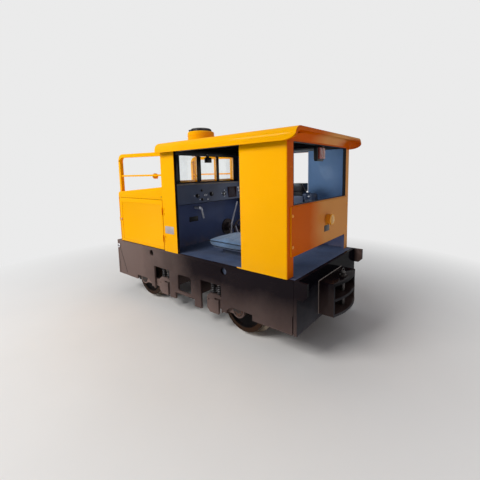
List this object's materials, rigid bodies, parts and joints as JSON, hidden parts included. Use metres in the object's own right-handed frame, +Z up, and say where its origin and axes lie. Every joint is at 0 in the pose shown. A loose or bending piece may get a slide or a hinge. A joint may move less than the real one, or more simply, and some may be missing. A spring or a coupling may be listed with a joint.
{
  "type": "narrow-gauge electric shunting locomotive",
  "caption": "Small four-wheeled electric shunting locomotive with a deep plate frame, a hood with side doors, and an open-sided cab under a peaked roof.",
  "frame": {"origin": "on the floor under the middle of the frame, level with the bottoms of the wheel flanges", "axes": "+X towards the cab end, +Y to the far side, +Z up"},
  "size_m": [2.532, 1.17, 1.6799],
  "materials": {
    "body_yellow": "gloss paint",
    "frame_paint": "gloss dark brown paint",
    "floor_steel": "worn paint",
    "dark_steel": "oiled steel",
    "bright_steel": "bright steel",
    "cast_iron": "cast iron with some rust",
    "cab_grey": "slate blue-grey paint",
    "black_plastic": "black plastic",
    "glass": "clear glass",
    "red_lens": "red lens",
    "seat_fabric": "blue-grey cloth"
  },
  "bodies": {
    "frame": {"battery_box": "cab_grey", "brake_lever": "bright_steel", "brake_shoes": "cast_iron", "cab_end_wall": "body_yellow", "cab_front_wall": "body_yellow", "cant_rails": "cab_grey", "coil_springs": "dark_steel", "console": "cab_grey", "coupler_front": "frame_paint", "coupler_pins": "dark_steel", "coupler_rear": "frame_paint", "crank_handle": "bright_steel", "cross_bearers": "frame_paint", "deck_plate": "floor_steel", "door_hinges": "body_yellow", "drive_units": "cast_iron", "drum_cap": "black_plastic", "end_panel": "body_yellow", "end_plate_front": "frame_paint", "end_plate_rear": "frame_paint", "front_column_far": "body_yellow", "front_column_near": "body_yellow", "front_glass": "glass", "guard_far": "body_yellow", "guard_lamp": "body_yellow", "guard_near": "body_yellow", "hand_wheel": "dark_steel", "hood_cover": "body_yellow", "hood_frame": "cab_grey", "hood_front": "body_yellow", "rear_lamp": "body_yellow", "rear_panel_far": "body_yellow", "rear_panel_near": "body_yellow", "roof": "body_yellow", "roof_drum": "body_yellow", "seat_pad": "seat_fabric", "seat_stand": "cab_grey", "side_plate_far": "frame_paint", "side_plate_near": "frame_paint", "spring_arms": "frame_paint", "tail_lamp": "red_lens", "tail_lamp_strap": "black_plastic", "visor_cove": "body_yellow"},
    "wheelset_rear": {"axle_rear": "bright_steel", "wheels_rear": "cast_iron"},
    "wheelset_front": {"axle_front": "bright_steel", "wheels_front": "cast_iron"},
    "door_near": {"hood_door_near": "body_yellow"},
    "door_far": {"hood_door_far": "body_yellow"}
  },
  "joints": [
    {"name": "rear_wheels_turn", "type": "hinge", "parent": "frame", "child": "wheelset_rear", "pos_m": [0.597, 0, 0.227], "axis": [0, 1, 0], "continuous": true},
    {"name": "front_wheels_turn", "type": "hinge", "parent": "frame", "child": "wheelset_front", "pos_m": [-0.653, 0, 0.227], "axis": [0, 1, 0], "continuous": true},
    {"name": "near_door_swing", "type": "hinge", "parent": "frame", "child": "door_near", "pos_m": [-0.257, -0.542, 0.815], "axis": [0, 0, 1], "range_deg": [0, 110]},
    {"name": "far_door_swing", "type": "hinge", "parent": "frame", "child": "door_far", "pos_m": [-0.257, 0.542, 0.815], "axis": [0, 0, -1], "range_deg": [0, 110]}
  ]
}
